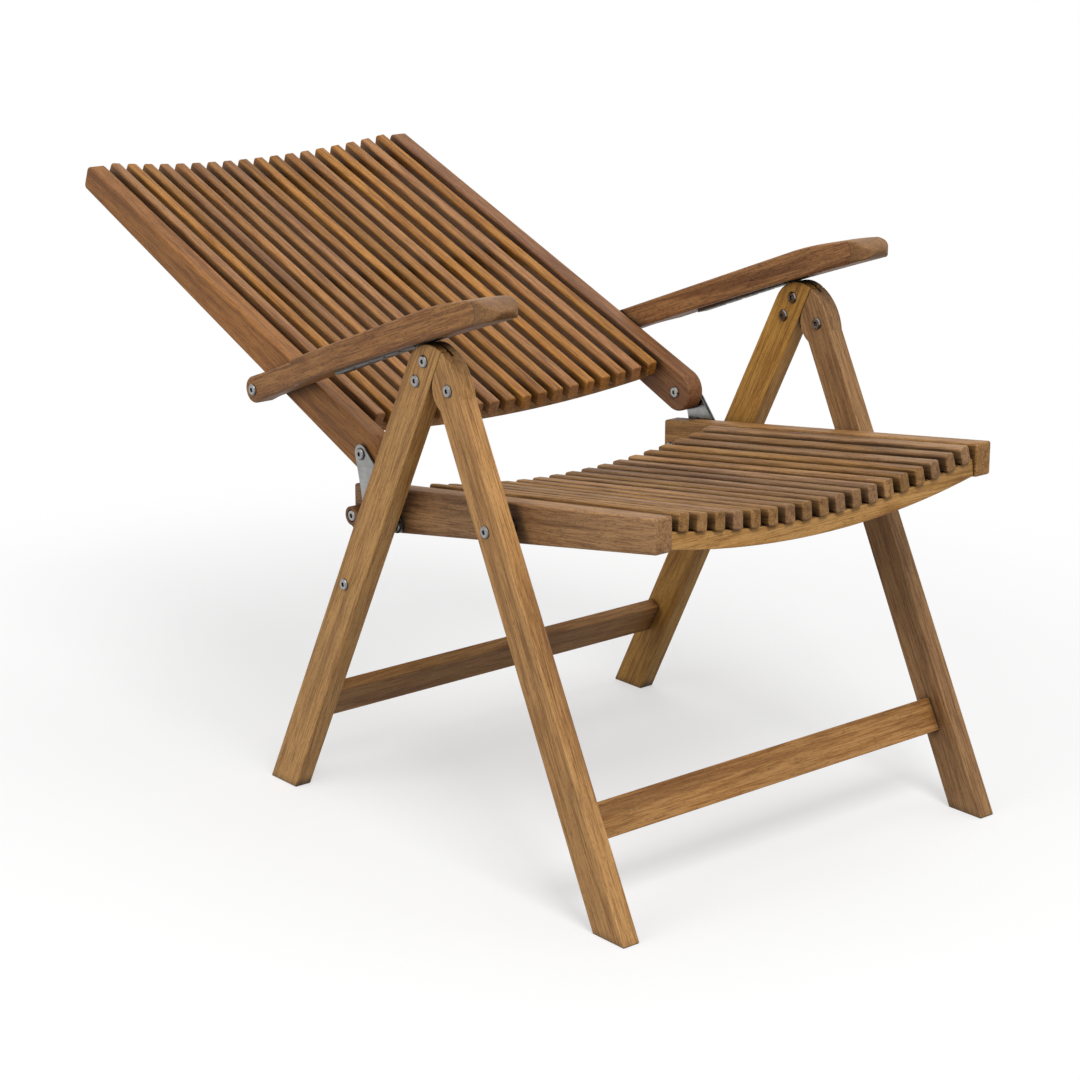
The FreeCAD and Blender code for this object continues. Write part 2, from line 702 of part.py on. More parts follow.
head_over = boss_radius * cosine(link_head_angle)
head_up = boss_radius * sine(link_head_angle)
foot_over = boss_radius * cosine(link_foot_angle)
foot_up = boss_radius * sine(link_foot_angle)
link_outline = [
    (link_head_y - head_over, link_head_z + head_up, link_front_curve),
    (link_foot_y - foot_over, link_foot_z - foot_up, boss_radius),
    (link_foot_y, link_foot_z - boss_radius, boss_radius),
    (link_foot_y + foot_over, link_foot_z + foot_up, -link_rear_curve),
    (link_head_y + head_over, link_head_z - head_up, boss_radius),
    (link_head_y, link_head_z + boss_radius, boss_radius),
]

for word, title, side in sides:
    body = new_body("seat_link_" + word, title + " seat link")
    slab(body, "Link", side, link_inside, link_outside, link_outline)
    boss_inside = rail_outside + air
    boss_sketch = new_sketch(body, "BossOutline", "YZ_Plane",
                             lower_face(side, boss_inside, link_outside))
    add_circle(boss_sketch, link_head_y, link_head_z, boss_radius)
    pad(body, "Boss", boss_sketch, link_outside - boss_inside)
    bore(body, "BoltHole", side, link_inside, [(link_head_y, link_head_z)])
    recess = new_sketch(body, "RecessOutline", "YZ_Plane", link_outside * side)
    add_circle(recess, link_head_y, link_head_z, recess_radius)
    pocket(body, "Recess", recess, head_height, side < 0)

    body = new_body("link_rail_bolt_" + word, title + " link and rail bolt")
    bolt(body, "Pin", side, (link_head_y, link_head_z), inner_head, link_outside)

# Seat rails and the plates that carry the back

SEAT_RAIL_FRONT_HEIGHT = 38.1
SEAT_RAIL_REAR_HEIGHT = 54.7
SEAT_RAIL_FRONT_SLOPE = 4.9
SEAT_RAIL_REAR_SLOPE = 7.4
BACK_HINGE_PLATE_ROUND = 11
BACK_HINGE_PLATE_BOLT_ROUND = 9
BACK_HINGE_PLATE_REAR_REACH = 6.5
BACK_HINGE_PLATE_LOW_REACH = 4
BACK_HINGE_PLATE_WAIST = 39.3
BACK_HINGE_PLATE_LOW_CORNER = 77.7
BACK_HINGE_PLATE_CORNER = 8
BACK_HINGE_PLATE_NECK_ALONG = 20.6
BACK_HINGE_PLATE_NECK_DOWN = 7.3
BACK_HINGE_PLATE_FRONT_ALONG = 38.9
BACK_HINGE_PLATE_FRONT_DOWN = 36
BACK_HINGE_PLATE_TILT = 36.6
BACK_HINGE_PLATE_BOLT_TILT = 17.4

rail_front_height = keep("seat_rail_front_height", SEAT_RAIL_FRONT_HEIGHT)
rail_rear_height = keep("seat_rail_rear_height", SEAT_RAIL_REAR_HEIGHT)
rail_front_slope = keep("seat_rail_front_slope", SEAT_RAIL_FRONT_SLOPE)
rail_rear_slope = keep("seat_rail_rear_slope", SEAT_RAIL_REAR_SLOPE)
hinge_round = keep("back_hinge_plate_round", BACK_HINGE_PLATE_ROUND)
hinge_bolt_round = keep("back_hinge_plate_bolt_round", BACK_HINGE_PLATE_BOLT_ROUND)
hinge_rear_reach = keep("back_hinge_plate_rear_reach", BACK_HINGE_PLATE_REAR_REACH)
hinge_low_reach = keep("back_hinge_plate_low_reach", BACK_HINGE_PLATE_LOW_REACH)
hinge_waist = keep("back_hinge_plate_waist", BACK_HINGE_PLATE_WAIST)
hinge_low = keep("back_hinge_plate_low_corner", BACK_HINGE_PLATE_LOW_CORNER)
hinge_corner = keep("back_hinge_plate_corner", BACK_HINGE_PLATE_CORNER)
hinge_neck_along = keep("back_hinge_plate_neck_along", BACK_HINGE_PLATE_NECK_ALONG)
hinge_neck_down = keep("back_hinge_plate_neck_down", BACK_HINGE_PLATE_NECK_DOWN)
hinge_front_along = keep("back_hinge_plate_front_along", BACK_HINGE_PLATE_FRONT_ALONG)
hinge_front_down = keep("back_hinge_plate_front_down", BACK_HINGE_PLATE_FRONT_DOWN)
hinge_tilt = keep("back_hinge_plate_tilt", BACK_HINGE_PLATE_TILT)
hinge_bolt_tilt = keep("back_hinge_plate_bolt_tilt", BACK_HINGE_PLATE_BOLT_TILT)

seat_rail_outline = [
    (0, 0),
    (rail_front_slope, -rail_front_height),
    (seat_length + rail_rear_slope, -rail_rear_height),
    (seat_length, 0),
]
pivot_along, pivot_above = back_pivot
bolt_along, bolt_above = plate_bolt
hinge_outline = [
    (pivot_along + hinge_round, pivot_above, hinge_round),
    (pivot_along - hinge_round * cosine(hinge_tilt), pivot_above + hinge_round * sine(hinge_tilt)),
    (pivot_along - hinge_neck_along, pivot_above - hinge_neck_down),
    (pivot_along - hinge_front_along, pivot_above - hinge_front_down),
    (bolt_along - hinge_bolt_round * cosine(hinge_bolt_tilt),
     bolt_above + hinge_bolt_round * sine(hinge_bolt_tilt), hinge_bolt_round),
    (bolt_along, bolt_above - hinge_bolt_round),
    (pivot_along + hinge_low_reach - hinge_corner, pivot_above - hinge_low - hinge_corner,
     hinge_corner),
    (pivot_along + hinge_low_reach, pivot_above - hinge_low),
    (pivot_along + hinge_rear_reach, pivot_above - hinge_waist),
]
rail_layer = rail_outside - rail_thickness / 2

# The inner plates of the back hinges, which turn with the back when the chair folds

INNER_PLATE_GAP = 0.1
INNER_PLATE_THICKNESS = 2.4
INNER_PLATE_REACH = 58.1
INNER_PLATE_ROUND = 10
INNER_PLATE_NECK_ALONG = 19.5
INNER_PLATE_NECK_DOWN = 8
INNER_PLATE_FRONT_ALONG = 36.5
INNER_PLATE_FRONT_DOWN = 36
INNER_PLATE_FOOT_FRONT = 35
INNER_PLATE_FOOT_REAR = 3
INNER_PLATE_WAIST_REAR = 5.3

inner_plate_gap = keep("inner_plate_gap", INNER_PLATE_GAP)
inner_plate_thickness = keep("inner_plate_thickness", INNER_PLATE_THICKNESS)
inner_plate_reach = keep("inner_plate_reach", INNER_PLATE_REACH)
inner_plate_round = keep("inner_plate_round", INNER_PLATE_ROUND)
inner_plate_recess = keep("inner_plate_recess_radius", inner_plate_reach + air * 10)
inner_plate_room = keep("inner_plate_recess_depth", inner_plate_thickness + inner_plate_gap * 2)
inner_plate_start = keep("inner_plate_inner_face", rail_outside + inner_plate_gap)
inner_neck_along = keep("inner_plate_neck_along", INNER_PLATE_NECK_ALONG)
inner_neck_down = keep("inner_plate_neck_down", INNER_PLATE_NECK_DOWN)
inner_front_along = keep("inner_plate_front_along", INNER_PLATE_FRONT_ALONG)
inner_front_down = keep("inner_plate_front_down", INNER_PLATE_FRONT_DOWN)
inner_foot_front = keep("inner_plate_foot_front", INNER_PLATE_FOOT_FRONT)
inner_foot_rear = keep("inner_plate_foot_rear", INNER_PLATE_FOOT_REAR)
inner_waist_rear = keep("inner_plate_waist_rear", INNER_PLATE_WAIST_REAR)
inner_foot_front_down = root(inner_plate_reach * inner_plate_reach
                             - inner_foot_front * inner_foot_front)
inner_foot_rear_down = root(inner_plate_reach * inner_plate_reach
                            - inner_foot_rear * inner_foot_rear)
inner_outline = [
    (pivot_along + inner_plate_round, pivot_above, inner_plate_round),
    (pivot_along - inner_plate_round * cosine(hinge_tilt),
     pivot_above + inner_plate_round * sine(hinge_tilt)),
    (pivot_along - inner_neck_along, pivot_above - inner_neck_down),
    (pivot_along - inner_front_along, pivot_above - inner_front_down),
    (pivot_along - inner_foot_front, pivot_above - inner_foot_front_down, inner_plate_reach),
    (pivot_along + inner_foot_rear, pivot_above - inner_foot_rear_down),
    (pivot_along + inner_waist_rear, pivot_above - hinge_waist),
]

for word, title, side in sides:
    body = new_body("seat_rail_" + word, title + " seat rail", "seat")
    board = slab(body, "Board", side, rail_inside, rail_outside, seat_rail_outline)
    soften(body, "EasedEdges", board, rail_ease)
    bore(body, "BoltHoles", side, rail_layer, [seat_pivot, link_head, plate_bolt])

    body = new_body("back_hinge_plate_" + word, title + " back hinge plate", "seat")
    slab(body, "Plate", side, rail_outside, plate_outside, hinge_outline)
    bore(body, "BoltHoles", side, rail_outside, [plate_bolt, back_pivot])
    recess = new_sketch(body, "InnerPlateRecessOutline", "YZ_Plane",
                        lower_face(side, rail_outside, rail_outside + inner_plate_room))
    add_circle(recess, pivot_along, pivot_above, inner_plate_recess)
    pocket(body, "InnerPlateRecess", recess, inner_plate_room, True)

    body = new_body("back_inner_plate_" + word, title + " inner plate of the back hinge", "seat")
    slab(body, "Plate", side, inner_plate_start, inner_plate_start + inner_plate_thickness,
         inner_outline)
    bore(body, "BoltHole", side, inner_plate_start, [back_pivot])

body = new_body("back_hinge_plate_bolts", "Back hinge plate bolts", "seat")
pin = bolt(body, "Pin", 1, plate_bolt, rail_inside - head_height, plate_outside + head_height)
mirror(body, "OtherSide", pin)

body = new_body("back_pivot_bolts", "Back pivot bolts", "back")
pin = bolt(body, "Pin", 1, (as_size(0), as_size(0)), inner_head,
           plate_outside + end_play + head_height)
mirror(body, "OtherSide", pin)

# Slats and battens, alike in the seat and in the back

SLAT_WIDTH = 14.1
SLAT_PITCH = 24.8
SLAT_ROUND = 3
EASED_SLAT_END = 2
SLATS_FLUSH_AT = 213

slat_width = keep("slat_width", SLAT_WIDTH)
slat_pitch = keep("slat_pitch", SLAT_PITCH)
slat_round = keep("slat_round", SLAT_ROUND)
slat_end_ease = keep("eased_slat_end", EASED_SLAT_END)
flush_at = keep("slats_flush_at", SLATS_FLUSH_AT)


def across_the_slat(edge):
    return edge.BoundBox.YLength < 0.01


def slat_pair(number, group, frame, dish, curve, level, start, length):
    offset = slat_pitch * (number - 0.5)
    body = new_body(group + "_slat_pair_" + str(number),
                    group.capitalize() + " slats, pair " + str(number), frame)
    section = new_sketch(body, "Section", "XZ_Plane", -start)
    height = level - dish + curve - root(curve * curve - offset * offset)
    bind(section, "AttachmentOffset.Base.x", offset)
    bind(section, "AttachmentOffset.Base.y", height)
    section.AttachmentOffset.Rotation = FreeCAD.Rotation(FreeCAD.Vector(0, 0, 1), 1)
    bind(section, "AttachmentOffset.Rotation.Angle", arc_sine(offset / curve))
    half = slat_width / 2
    add_outline(section, [
        (half - slat_round, 0, -slat_round),
        (half, -slat_round),
        (half, slat_round - slat_thickness, -slat_round),
        (half - slat_round, -slat_thickness),
        (slat_round - half, -slat_thickness, -slat_round),
        (-half, slat_round - slat_thickness),
        (-half, -slat_round, -slat_round),
        (slat_round - half, 0),
    ])
    slat = pad(body, "Slat", section, length, True)
    both = mirror(body, "OtherSlat", [slat])
    soften(body, "EasedEnds", both, slat_end_ease, across_the_slat)


def batten(name, label, frame, dish, curve, level, start, width, thickness):
    body = new_body(name, label, frame)
    section = new_sketch(body, "Section", "XZ_Plane", -start)
    upper = curve + slat_thickness + seat_fit
    lower = upper + thickness
    centre = level - dish + curve
    top_end = centre - root(upper * upper - rail_inside * rail_inside)
    low_end = centre - root(lower * lower - rail_inside * rail_inside)
    add_outline(section, [
        (-rail_inside, low_end, lower),
        (rail_inside, low_end),
        (rail_inside, top_end, -upper),
        (-rail_inside, top_end),
    ])
    bar = pad(body, "Bar", section, width, True)
    soften(body, "EasedEdges", bar, thin_ease)


SEAT_SLAT_START = 2.5
SEAT_SLAT_LENGTH = 420.5
BACK_SLAT_START = 33
BATTEN_WIDTH = 34
SEAT_BATTEN_THICKNESS = 19
BACK_BATTEN_THICKNESS = 15
SEAT_FRONT_BATTEN_AT = 8
SEAT_MIDDLE_BATTEN_AT = 182
SEAT_REAR_BATTEN_AT = 382
BACK_LOWER_BATTEN_AT = 48
BACK_MIDDLE_BATTEN_AT = 330
BACK_UPPER_BATTEN_AT = 590

seat_curve = keep("seat_curve_radius", (flush_at * flush_at + seat_dish * seat_dish) / seat_dish / 2)
back_curve = keep("back_curve_radius", (flush_at * flush_at + back_dish * back_dish) / back_dish / 2)
seat_slat_start = keep("seat_slat_start", SEAT_SLAT_START)
seat_slat_length = keep("seat_slat_length", SEAT_SLAT_LENGTH)
back_slat_start = keep("back_slat_start", BACK_SLAT_START)
batten_width = keep("batten_width", BATTEN_WIDTH)
seat_batten_depth = keep("seat_batten_thickness", SEAT_BATTEN_THICKNESS)
back_batten_depth = keep("back_batten_thickness", BACK_BATTEN_THICKNESS)
front_batten_at = keep("seat_front_batten_at", SEAT_FRONT_BATTEN_AT)
middle_batten_at = keep("seat_middle_batten_at", SEAT_MIDDLE_BATTEN_AT)
rear_batten_at = keep("seat_rear_batten_at", SEAT_REAR_BATTEN_AT)
lower_back_batten_at = keep("back_lower_batten_at", BACK_LOWER_BATTEN_AT)
middle_back_batten_at = keep("back_middle_batten_at", BACK_MIDDLE_BATTEN_AT)
upper_back_batten_at = keep("back_upper_batten_at", BACK_UPPER_BATTEN_AT)
no_rise = as_size(0)
back_slat_length = back_length - back_slat_start

for number in range(1, 10):
    slat_pair(number, "seat", "seat", seat_dish, seat_curve, no_rise, seat_slat_start,
              seat_slat_length)
    slat_pair(number, "back", "back", back_dish, back_curve, back_rise, back_slat_start,
              back_slat_length)

for place, start in (("front", front_batten_at), ("middle", middle_batten_at),
                     ("rear", rear_batten_at)):
    batten("seat_batten_" + place, "Seat batten, " + place, "seat", seat_dish, seat_curve,
           no_rise, start, batten_width, seat_batten_depth)
for place, start in (("lower", lower_back_batten_at), ("middle", middle_back_batten_at),
                     ("upper", upper_back_batten_at)):
    batten("back_batten_" + place, "Back batten, " + place, "back", back_dish, back_curve,
           back_rise, start, batten_width, back_batten_depth)

# Back rails, and the brackets that carry the armrests

BACK_RAIL_END_ROUND = 25.5
BACK_RAIL_BELOW_PIVOT = 24
BACK_RAIL_TOP_BELOW = 4
BACK_RAIL_TOP_CORNER = 6
ARM_BRACKET_THICKNESS = 2
ARM_BRACKET_ROUND = 9
ARM_BRACKET_FRONT_REACH = 34
ARM_BRACKET_REAR_REACH = 5
ARM_BRACKET_OVERLAP = 24
ARM_BRACKET_REAR_OVERLAP = 18

rail_round = keep("back_rail_end_round", BACK_RAIL_END_ROUND)
rail_back_drop = keep("back_rail_below_pivot", BACK_RAIL_BELOW_PIVOT)
rail_top_drop = keep("back_rail_top_below", BACK_RAIL_TOP_BELOW)
rail_corner = keep("back_rail_top_corner", BACK_RAIL_TOP_CORNER)
bracket_thickness = keep("arm_bracket_thickness", ARM_BRACKET_THICKNESS)
bracket_round = keep("arm_bracket_round", ARM_BRACKET_ROUND)
bracket_front_reach = keep("arm_bracket_front_reach", ARM_BRACKET_FRONT_REACH)
bracket_rear_reach = keep("arm_bracket_rear_reach", ARM_BRACKET_REAR_REACH)
bracket_overlap = keep("arm_bracket_overlap", ARM_BRACKET_OVERLAP)
bracket_rear_overlap = keep("arm_bracket_rear_overlap", ARM_BRACKET_REAR_OVERLAP)
bracket_outside = keep("arm_bracket_face", back_outside + bracket_thickness)
arm_inside = keep("armrest_inner_face", bracket_outside + air)

back_rail_outline = [
    (0, back_rise, rail_round),
    (-rail_round, (back_rise - rail_back_drop) / 2, rail_round),
    (0, -rail_back_drop),
    (back_length - rail_corner, -rail_top_drop, rail_corner),
    (back_length, rail_corner - rail_top_drop),
    (back_length, back_rise - rail_corner, rail_corner),
    (back_length - rail_corner, back_rise),
]
arm_along, arm_above = arm_pivot
bracket_outline = [
    (arm_along - bracket_round, arm_above, bracket_round),
    (arm_along, arm_above - bracket_round, bracket_round),
    (arm_along + bracket_round, arm_above),
    (arm_along + bracket_rear_reach, arm_above + bracket_rear_overlap),
    (arm_along - bracket_front_reach, arm_above + bracket_overlap),
]

for word, title, side in sides:
    body = new_body("back_rail_" + word, title + " back rail", "back")
    board = slab(body, "Board", side, rail_inside, back_outside, back_rail_outline)
    soften(body, "EasedEdges", board, rail_ease)
    bore(body, "BoltHole", side, rail_layer, [(as_size(0), as_size(0))])

    body = new_body("arm_bracket_" + word, title + " armrest bracket", "back")
    slab(body, "Plate", side, back_outside, bracket_outside, bracket_outline)
    bore(body, "BoltHole", side, back_outside, [arm_pivot])

# Armrests

ARMREST_CHEEK_THICKNESS = 25.6
ARMREST_WIDTH = 47.6
ARMREST_END_ROUND = 16
ARMREST_NOSE_ROUND = 20
ARMREST_EASED_EDGE = 3
ARMREST_END_TOP_ANGLE = 22
ARMREST_SHOULDER_Y = 143
ARMREST_SHOULDER_RUN = 26
ARMREST_SHOULDER_ROUND = 34
ARMREST_TOP_REAR_Y = 196
ARMREST_TOP_REAR_HEIGHT = 504
ARMREST_TOP_BEND_Y = -130
ARMREST_TOP_BEND_HEIGHT = 629.5
ARMREST_TOP_FRONT_Y = -223
ARMREST_TOP_FRONT_HEIGHT = 653.5
ARMREST_TOP_CURVE = 528
ARMREST_NOSE_Y = -249
ARMREST_NOSE_HEIGHT = 643.5
ARMREST_NOSE_TOP_CURVE = 42
ARMREST_NOSE_UNDER_Y = -237
ARMREST_NOSE_UNDER_HEIGHT = 631.5
ARMREST_NOSE_UNDER_CURVE = 14
ARMREST_UNDER_CURVE = 7500
ARMREST_UNDER_REAR_Y = 205
ARMREST_UNDER_REAR_HEIGHT = 468.5

cheek_thickness = keep("armrest_cheek_thickness", ARMREST_CHEEK_THICKNESS)
arm_width = keep("armrest_width", ARMREST_WIDTH)
arm_end_round = keep("armrest_end_round", ARMREST_END_ROUND)
nose_round = keep("armrest_nose_round", ARMREST_NOSE_ROUND)
arm_ease = keep("armrest_eased_edge", ARMREST_EASED_EDGE)
end_top_angle = keep("armrest_end_top_angle", ARMREST_END_TOP_ANGLE)
shoulder_y = keep("armrest_shoulder_y", ARMREST_SHOULDER_Y)
shoulder_run = keep("armrest_shoulder_run", ARMREST_SHOULDER_RUN)
shoulder_round = keep("armrest_shoulder_round", ARMREST_SHOULDER_ROUND)
arm_top_rear_y = keep("armrest_top_rear_y", ARMREST_TOP_REAR_Y)
arm_top_rear_z = keep("armrest_top_rear_height", ARMREST_TOP_REAR_HEIGHT)
arm_top_bend_y = keep("armrest_top_bend_y", ARMREST_TOP_BEND_Y)
arm_top_bend_z = keep("armrest_top_bend_height", ARMREST_TOP_BEND_HEIGHT)
arm_top_front_y = keep("armrest_top_front_y", ARMREST_TOP_FRONT_Y)
arm_top_front_z = keep("armrest_top_front_height", ARMREST_TOP_FRONT_HEIGHT)
arm_top_curve = keep("armrest_top_curve", ARMREST_TOP_CURVE)
nose_y = keep("armrest_nose_y", ARMREST_NOSE_Y)
nose_z = keep("armrest_nose_height", ARMREST_NOSE_HEIGHT)
nose_top_curve = keep("armrest_nose_top_curve", ARMREST_NOSE_TOP_CURVE)
nose_under_y = keep("armrest_nose_under_y", ARMREST_NOSE_UNDER_Y)
nose_under_z = keep("armrest_nose_under_height", ARMREST_NOSE_UNDER_HEIGHT)
nose_under_curve = keep("armrest_nose_under_curve", ARMREST_NOSE_UNDER_CURVE)
arm_low_curve = keep("armrest_under_curve", ARMREST_UNDER_CURVE)
arm_low_rear_y = keep("armrest_under_rear_y", ARMREST_UNDER_REAR_Y)
arm_low_rear_z = keep("armrest_under_rear_height", ARMREST_UNDER_REAR_HEIGHT)
arm_outside = keep("armrest_outer_face", arm_inside + arm_width)
cheek_outside = keep("armrest_cheek_face", arm_inside + cheek_thickness)

STRIP_REAR_Y = 50
STRIP_REAR_HEIGHT = 525
STRIP_LENGTH = 201
STRIP_SLOPE = 21.04
STRIP_THICKNESS = 4
STRIP_WIDTH = 16
NOTCH_DEPTH = 1.6
NOTCH_HALF_WIDTH = 3
NOTCH_SPACING = 30
FIRST_NOTCH = 40

strip_rear_y = keep("strip_rear_y", STRIP_REAR_Y)
strip_rear_z = keep("strip_rear_height", STRIP_REAR_HEIGHT)
strip_length = keep("strip_length", STRIP_LENGTH)
strip_slope = keep("strip_slope", STRIP_SLOPE)
strip_thickness = keep("strip_thickness", STRIP_THICKNESS)
strip_width = keep("strip_width", STRIP_WIDTH)
strip_inside = keep("strip_inner_face", leg_middle - strip_width / 2)
strip_outside = keep("strip_outer_face", leg_middle + strip_width / 2)
notch_depth = keep("notch_depth", NOTCH_DEPTH)
notch_half = keep("notch_half_width", NOTCH_HALF_WIDTH)
notch_spacing = keep("notch_spacing", NOTCH_SPACING)
notch_first = keep("first_notch", FIRST_NOTCH)


def on_strip(along, up):
    y = strip_rear_y - along * cosine(strip_slope) + up * sine(strip_slope)
    z = strip_rear_z + along * sine(strip_slope) + up * cosine(strip_slope)
    return y, z


arm_outline = [
    (arm_pivot_y + arm_end_round * sine(end_top_angle),
     arm_pivot_z + arm_end_round * cosine(end_top_angle)),
    (arm_top_rear_y, arm_top_rear_z),
    (arm_top_bend_y, arm_top_bend_z, arm_top_curve),
    (arm_top_front_y, arm_top_front_z, nose_top_curve),
    (nose_y, nose_z, nose_under_curve),
    (nose_under_y, nose_under_z, -arm_low_curve),
    (arm_low_rear_y, arm_low_rear_z),
    (arm_pivot_y - arm_end_round * sine(end_top_angle),
     arm_pivot_z - arm_end_round * cosine(end_top_angle), arm_end_round),
    (arm_pivot_y + arm_end_round * cosine(end_top_angle),
     arm_pivot_z - arm_end_round * sine(end_top_angle), arm_end_round),
]
ARM_PIVOT_PLATE_THICKNESS = 2.2
ARM_PIVOT_PLATE_LENGTH = 49
ARM_PIVOT_PLATE_ROUND = 11

pivot_plate_thickness = keep("arm_pivot_plate_thickness", ARM_PIVOT_PLATE_THICKNESS)
pivot_plate_length = keep("arm_pivot_plate_length", ARM_PIVOT_PLATE_LENGTH)
pivot_plate_round = keep("arm_pivot_plate_round", ARM_PIVOT_PLATE_ROUND)
pivot_plate_room = keep("arm_pivot_plate_recess_depth", pivot_plate_thickness + end_play)
pivot_plate_sweep = keep("arm_pivot_plate_recess_radius",
                         pivot_plate_length + pivot_plate_round + air * 6)


def on_arm(along, up):
    y = arm_pivot_y - along * cosine(strip_slope) + up * sine(strip_slope)
    z = arm_pivot_z + along * sine(strip_slope) + up * cosine(strip_slope)
    return y, z


def arm_corner(along, up):
    y, z = on_arm(along, up)
    return y, z, pivot_plate_round


pivot_plate_outline = [
    arm_corner(no_rise, -pivot_plate_round),
    arm_corner(-pivot_plate_round, no_rise),
    on_arm(no_rise, pivot_plate_round),
    arm_corner(pivot_plate_length, pivot_plate_round),
    arm_corner(pivot_plate_length + pivot_plate_round, no_rise),
    on_arm(pivot_plate_length, -pivot_plate_round),
]
strip_outline = [on_strip(no_rise, no_rise)]
for notch in range(5):
    middle = notch_first + notch_spacing * notch
    strip_outline.append(on_strip(middle - notch_half, no_rise))
    strip_outline.append(on_strip(middle, notch_depth))
    strip_outline.append(on_strip(middle + notch_half, no_rise))
strip_outline.append(on_strip(strip_length, no_rise))
strip_outline.append(on_strip(strip_length, strip_thickness))
strip_outline.append(on_strip(no_rise, strip_thickness))
groove_up = strip_thickness + seat_fit
groove_outline = [
    on_strip(-seat_fit, -groove_up * 2),
    on_strip(-seat_fit, groove_up),
    on_strip(strip_length + seat_fit, groove_up),
    on_strip(strip_length + seat_fit, -groove_up * 2),
]

for word, title, side in sides:
    body = new_body("armrest_" + word, title + " armrest")
    blank = slab(body, "Blank", side, arm_inside, arm_outside, arm_outline)
    plan = new_sketch(body, "PlanCuts", "XY_Plane")
    beyond = arm_outside + arm_end_round
    front = nose_y - arm_end_round
    past_end = arm_pivot_y + arm_end_round * 2
    recess_points = [
        (cheek_outside, past_end),
        (cheek_outside, shoulder_y, shoulder_round),
        (arm_outside, shoulder_y - shoulder_run),
        (beyond, shoulder_y - shoulder_run),
        (beyond, past_end),
    ]
    outer_corner = [
        (arm_outside, nose_y + nose_round, -nose_round),
        (arm_outside - nose_round, nose_y),
        (arm_outside - nose_round, front),
        (beyond, front),
        (beyond, nose_y + nose_round),
    ]
    inner_corner = [
        (arm_inside + nose_round, nose_y, -nose_round),
        (arm_inside, nose_y + nose_round),
        (arm_inside - nose_round, nose_y + nose_round),
        (arm_inside - nose_round, front),
        (arm_inside + nose_round, front),
    ]
    for points in (recess_points, outer_corner, inner_corner):
        placed = []
        for point in points:
            entry = [as_size(point[0]) * side, point[1]]
            if len(point) > 2:
                entry.append(point[2] * side)
            placed.append(tuple(entry))
        add_outline(plan, placed)
    shaped = pocket(body, "PlanShape", plan)
    softened = soften(body, "EasedEdges", shaped, arm_ease)
    bore(body, "BoltHole", side, arm_inside, [(arm_pivot_y, arm_pivot_z)])
    recess = new_sketch(body, "PivotPlateRecessOutline", "YZ_Plane",
                        lower_face(side, arm_inside, arm_inside + pivot_plate_room))
    add_circle(recess, arm_pivot_y, arm_pivot_z, pivot_plate_sweep)
    pocket(body, "PivotPlateRecess", recess, pivot_plate_room, True)
    groove = new_sketch(body, "StripGrooveOutline", "YZ_Plane",
                        lower_face(side, strip_inside - seat_fit, strip_outside + seat_fit))
    add_outline(groove, groove_outline)
    pocket(body, "StripGroove", groove, strip_width + seat_fit * 2, True)

    body = new_body("arm_strip_" + word, title + " notched strip")
    slab(body, "Strip", side, strip_inside, strip_outside, strip_outline)

    body = new_body("arm_pivot_plate_" + word, title + " armrest pivot plate")
    slab(body, "Plate", side, arm_inside, arm_inside + pivot_plate_thickness, pivot_plate_outline)
    bore(body, "BoltHole", side, arm_inside, [(arm_pivot_y, arm_pivot_z)])

    body = new_body("arm_pivot_bolt_" + word, title + " armrest pivot bolt")
    bolt(body, "Pin", side, (arm_pivot_y, arm_pivot_z), back_outside,
         cheek_outside + end_play + head_height, False)

doc.recompute()

problems = []
for thing in doc.Objects:
    state = " ".join(thing.State)
    if "Invalid" in state or "Error" in state:
        problems.append(thing.Name + " (" + thing.Label + ") is " + state)
for name, body in bodies.items():
    for feature in body.Group:
        if feature.TypeId != "PartDesign::Pocket":
            continue
        before = feature.BaseFeature.Shape
        if before.isNull() or feature.Shape.isNull():
            problems.append(name + " " + feature.Name + " has no shape")
        elif before.Volume - feature.Shape.Volume < 1:
            problems.append(name + " " + feature.Name + " cuts nothing")
    if body.Shape.isNull() or not body.Shape.isValid() or body.Shape.Volume < 1:
        problems.append(name + " has no valid shape")
if problems:
    raise SystemExit("\n".join(problems[:40]))

os.makedirs("parts", exist_ok=True)
for name, body in bodies.items():
    body.Shape.exportStep(os.path.join("parts", name + ".step"))
print(len(bodies), "parts written")
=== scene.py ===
"""Looks of the folding teak armchair: teak grain along each board, steel, light and camera."""

import math

import bpy
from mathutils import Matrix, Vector

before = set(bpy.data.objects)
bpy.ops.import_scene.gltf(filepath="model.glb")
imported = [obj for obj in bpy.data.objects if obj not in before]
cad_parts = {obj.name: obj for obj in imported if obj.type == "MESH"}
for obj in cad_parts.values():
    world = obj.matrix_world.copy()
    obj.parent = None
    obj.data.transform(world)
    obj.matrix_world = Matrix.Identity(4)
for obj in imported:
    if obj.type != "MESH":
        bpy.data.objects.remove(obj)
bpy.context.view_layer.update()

# Lean of each group of boards in the side view, in degrees above +Y
SEAT = -7.61
BACK = 21.7
FRONT_LEG = 63.7
REAR_LEG = -63.1
ARM = -20.5
LINK = 76.0

# Distances after which another board starts: slats along X, stretchers and battens along Y
SLAT_PITCH = 0.0248
BAR_SPACING = 0.19

# Joint of the glued block at each armrest's front, a curve in the frame turned along the armrest
JOINT_FRONT = -0.5255
JOINT_LEVEL = 0.491
JOINT_CURVE = 40.0
BLOCK_TINT = (106, 82, 56)

# Noise scales of the teak, per metre, before each is drawn out along the grain
SWAY_SCALE = 12.0
FIGURE_SCALE = 130.0
LINE_SCALE = 680.0
PORE_SCALE = 1000.0
HEART_SCALE = 46.0
BLOTCH_SCALE = 9.0

# Reach of the painted shade in corners and gaps
WOOD_PAINTED_SHADE_REACH = 0.018
STEEL_PAINTED_SHADE_REACH = 0.004

